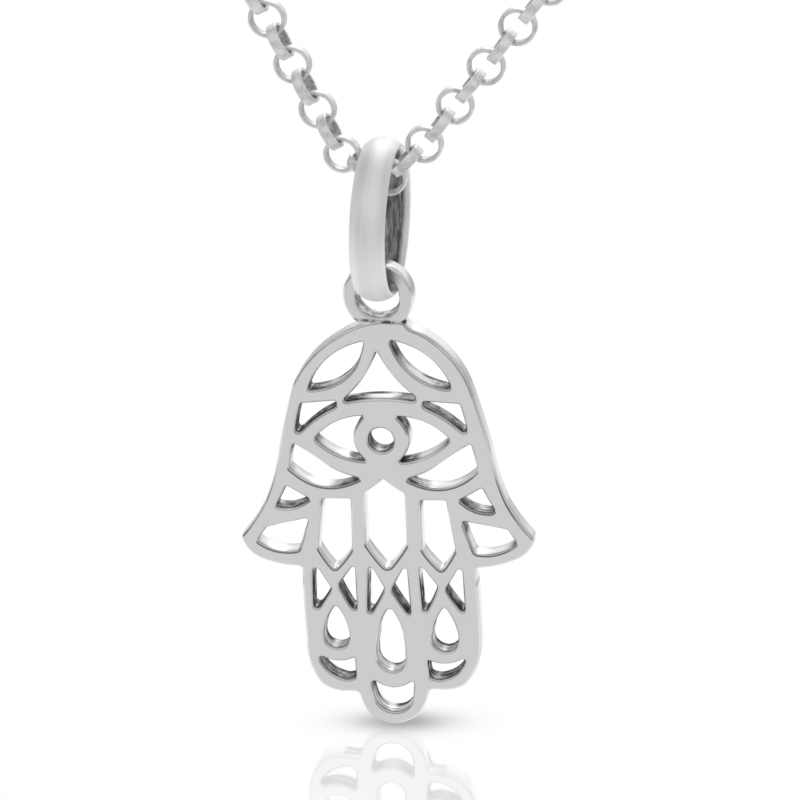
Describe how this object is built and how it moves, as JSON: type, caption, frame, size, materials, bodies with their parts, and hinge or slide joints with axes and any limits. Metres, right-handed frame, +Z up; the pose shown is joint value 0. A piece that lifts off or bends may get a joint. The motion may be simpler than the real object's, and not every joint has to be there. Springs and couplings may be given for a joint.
{
  "type": "hamsa pendant on a chain",
  "caption": "Flat pierced silver hand with an eye in its palm, hung by its loop from a half-round bail ring on a round band-link neck chain.",
  "frame": {"origin": "middle of the clasp, where the chain hangs at the nape", "axes": "+Z up along the hanging necklace, -Y out of the hand's front face, +X to the viewer's right"},
  "size_m": [0.1105, 0.0104, 0.1933],
  "materials": {
    "hand_silver": "polished silver, darker in its corners",
    "bail_silver": "satin silver, dark inside",
    "chain_silver": "polished silver",
    "clasp_silver": "polished silver"
  },
  "bodies": {
    "necklace": {"chain": "chain_silver", "clasp": "clasp_silver"},
    "bail_ring": {"bail": "bail_silver"},
    "pendant": {"hamsa": "hand_silver"}
  },
  "joints": [
    {"name": "bail_swing", "type": "hinge", "parent": "necklace", "child": "bail_ring", "pos_m": [-0.00886, 0, -0.15224], "axis": [1, 0, 0], "range_deg": [-20, 20]},
    {"name": "hand_rock", "type": "hinge", "parent": "bail_ring", "child": "pendant", "pos_m": [-0.00896, 0, -0.16036], "axis": [0, 1, 0], "range_deg": [-25, 25]}
  ]
}
